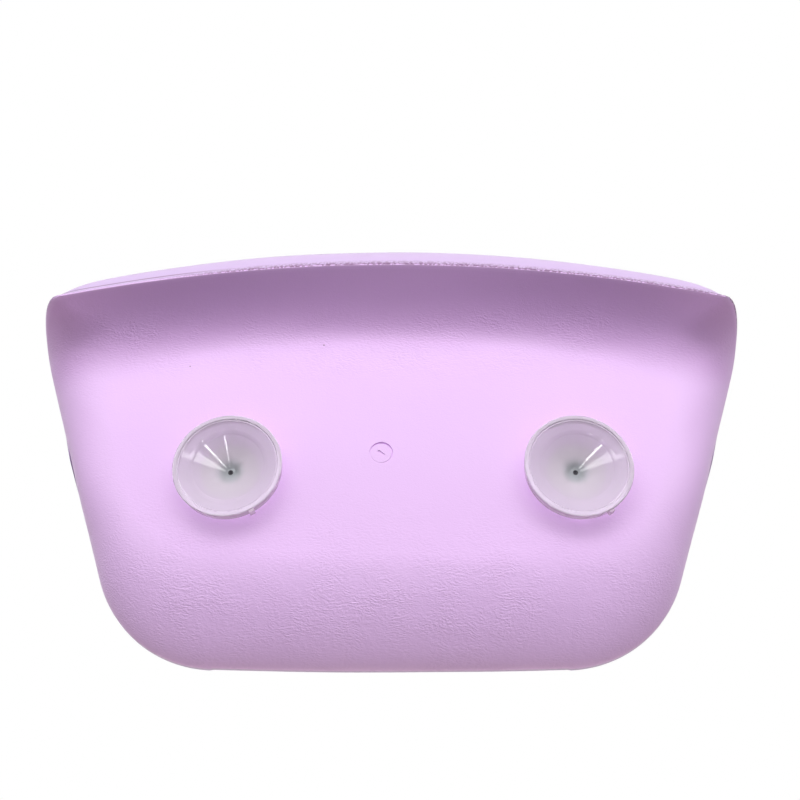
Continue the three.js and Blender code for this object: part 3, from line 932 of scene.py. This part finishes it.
def foamMaterial():
    material = newMaterial("lilacFoam")
    tree = material.node_tree
    link = tree.links.new
    body = shader(material)
    place = addNode(tree, "ShaderNodeTexCoord")
    cloud = addNode(tree, "ShaderNodeTexNoise", Scale=foamLook["cloudScale"], Detail=3)
    last = trimMask(tree, place)
    marks = [partingShadowMask(tree)] + [speckMask(tree, place, *speck) for speck in foamLook["specks"]]
    for mask in marks:
        joined = addMath(tree, "MAXIMUM")
        link(last.outputs[0], joined.inputs[0])
        link(mask.outputs[0], joined.inputs[1])
        last = joined
    # one dark colour paints the specks and the painted shadow line in the gap of the flash
    colour = addTint(tree, foamLook["specksAndShadowLine"])
    link(last.outputs[0], colour.inputs[0])
    link(foamColour(tree, place, cloud), colour.inputs[6])
    link(colour.outputs[2], body.inputs["Base Color"])

    ripple = tree.nodes.new("ShaderNodeGroup")
    ripple.node_tree = rippleGroup()
    ripple.inputs["Length"].default_value = ripples["length"]
    ripple.inputs["Height"].default_value = ripples["height"]
    ripple.inputs["Grain Length"].default_value = ripples["grainLength"]
    wrinkle = addNode(tree, "ShaderNodeAttribute", attribute_name="wrinkle")
    bump = addNode(tree, "ShaderNodeBump", Strength=1, Distance=foamLook["relief"] * mm)
    link(wrinkle.outputs["Fac"], ripple.inputs["Strength"])
    link(ripple.outputs["Height"], bump.inputs["Height"])
    link(bump.outputs[0], body.inputs["Normal"])

    rough = addRange(tree, 0, 1, *foamLook["roughness"])
    link(cloud.outputs["Fac"], rough.inputs["Value"])
    link(rough.outputs[0], body.inputs["Roughness"])
    body.inputs["Specular IOR Level"].default_value = foamLook["specular"]
    body.inputs["Sheen Weight"].default_value = foamLook["sheen"]
    body.inputs["Sheen Roughness"].default_value = foamLook["sheenRoughness"]
    return material


vinylLook = {
    "face": (  # shares of the way from the axis to the edge, with their colours
        # the darkest stop is painted shade in the pin hole; the blue-grey round the apex is painted shade down
        # the neck, tinted like thick vinyl
        (0.04, (0.12, 0.11, 0.13, 1)), (0.055, (0.54, 0.56, 0.6, 1)), (0.1, (0.54, 0.56, 0.6, 1)),
        (0.3, (0.675, 0.615, 0.69, 1)), (0.88, (0.69, 0.62, 0.72, 1)), (0.93, (0.88, 0.8, 0.92, 1))),
    # the wall tint is painted shade over the lilac foam seen through; the heel tint is a painted shadow line
    # where the wall ends
    "wall": (0.66, 0.52, 0.65, 1), "wallStart": (-0.2, -0.5), "wallShare": (0.935, 0.96),
    "heel": (0.4, 0.3, 0.4, 1), "heelStart": (-4.1, -4.9),
    "transmission": 0.45, "ior": 1.5, "roughness": (0.04, 0.08),
    "smearScale": 120, "smearStrength": 0.05, "smearHeight": 0.3, "through": 0.92,
}


def vinylColour(tree, place):
    link = tree.links.new
    split = addNode(tree, "ShaderNodeSeparateXYZ")
    across = addMath(tree, "ABSOLUTE")
    fromAxis = addMath(tree, "SUBTRACT", cup["spacing"] / 2 * mm)
    flat = addNode(tree, "ShaderNodeCombineXYZ")
    radius = addVectorMath(tree, "LENGTH")
    toEdge = addRange(tree, 0, cup["radius"] * mm)
    face = addRamp(tree, vinylLook["face"])
    link(place.outputs["Object"], split.inputs[0])
    link(split.outputs["X"], across.inputs[0])
    link(across.outputs[0], fromAxis.inputs[0])
    link(fromAxis.outputs[0], flat.inputs["X"])
    link(split.outputs["Z"], flat.inputs["Z"])
    link(flat.outputs[0], radius.inputs[0])
    link(radius.outputs["Value"], toEdge.inputs["Value"])
    link(toEdge.outputs[0], face.inputs["Fac"])

    outer = addRange(tree, *vinylLook["wallShare"])
    link(toEdge.outputs[0], outer.inputs["Value"])
    last = face.outputs["Color"]
    # painted shade on the wall and the nub behind the face, over the lilac foam seen through them, then the
    # painted shadow line where the wall ends above the foam
    for name in ("wall", "heel"):
        start, full = vinylLook[name + "Start"]
        behind = addRange(tree, start * mm, full * mm)
        share = addMath(tree, "MULTIPLY")
        tint = addTint(tree, vinylLook[name])
        link(split.outputs["Y"], behind.inputs["Value"])
        link(behind.outputs[0], share.inputs[0])
        link(outer.outputs[0], share.inputs[1])
        link(share.outputs[0], tint.inputs[0])
        link(last, tint.inputs[6])
        last = tint.outputs[2]
    return last


def vinylMaterial():
    material = newMaterial("clearVinyl")
    tree = material.node_tree
    link = tree.links.new
    body = shader(material)
    body.inputs["Transmission Weight"].default_value = vinylLook["transmission"]
    body.inputs["IOR"].default_value = vinylLook["ior"]
    place = addNode(tree, "ShaderNodeTexCoord")
    smear = addNode(tree, "ShaderNodeTexNoise", Scale=vinylLook["smearScale"], Detail=3)
    rough = addRange(tree, 0, 1, *vinylLook["roughness"])
    strength, height = vinylLook["smearStrength"], vinylLook["smearHeight"] * mm
    bump = addNode(tree, "ShaderNodeBump", Strength=strength, Distance=height)
    link(vinylColour(tree, place), body.inputs["Base Color"])
    link(place.outputs["Object"], smear.inputs["Vector"])
    link(smear.outputs["Fac"], rough.inputs["Value"])
    link(rough.outputs[0], body.inputs["Roughness"])
    link(smear.outputs["Fac"], bump.inputs["Height"])
    link(bump.outputs[0], body.inputs["Normal"])

    # most of the light goes on through the thin wall, so the shadow on the foam stays weak
    path = addNode(tree, "ShaderNodeLightPath")
    through = addMath(tree, "MULTIPLY", vinylLook["through"])
    clear = addNode(tree, "ShaderNodeBsdfTransparent")
    blend = addNode(tree, "ShaderNodeMixShader")
    link(path.outputs["Is Shadow Ray"], through.inputs[0])
    link(through.outputs[0], blend.inputs[0])
    link(body.outputs[0], blend.inputs[1])
    link(clear.outputs[0], blend.inputs[2])
    link(blend.outputs[0], tree.nodes["Material Output"].inputs["Surface"])
    return material


anchorLook = {
    "plain": (0.7, 0.7, 0.68, 1), "pale": (0.78, 0.78, 0.76, 1), "roughness": 0.5,
    "grainScale": 700, "grainStrength": 0.1, "grainHeight": 0.2,
}


def anchorMaterial():
    material = newMaterial("anchorPlastic")
    tree = material.node_tree
    link = tree.links.new
    body = shader(material)
    body.inputs["Roughness"].default_value = anchorLook["roughness"]
    place = addNode(tree, "ShaderNodeTexCoord")
    grain = addNode(tree, "ShaderNodeTexNoise", Scale=anchorLook["grainScale"], Detail=3)
    tone = addTint(tree, anchorLook["pale"], anchorLook["plain"])
    strength, height = anchorLook["grainStrength"], anchorLook["grainHeight"] * mm
    bump = addNode(tree, "ShaderNodeBump", Strength=strength, Distance=height)
    link(place.outputs["Object"], grain.inputs["Vector"])
    link(grain.outputs["Fac"], tone.inputs[0])
    link(tone.outputs[2], body.inputs["Base Color"])
    link(grain.outputs["Fac"], bump.inputs["Height"])
    link(bump.outputs[0], body.inputs["Normal"])
    return material


addCamera()
addLights()
addWorld()
addFloor()
print("camera, light and floor made")
buildFoam()
print("foam body made")
for side, x in (("left", cup["spacing"] / 2), ("right", -cup["spacing"] / 2)):
    buildAnchor(side, x)
    buildCup(side, x)
print("anchors and cups made")
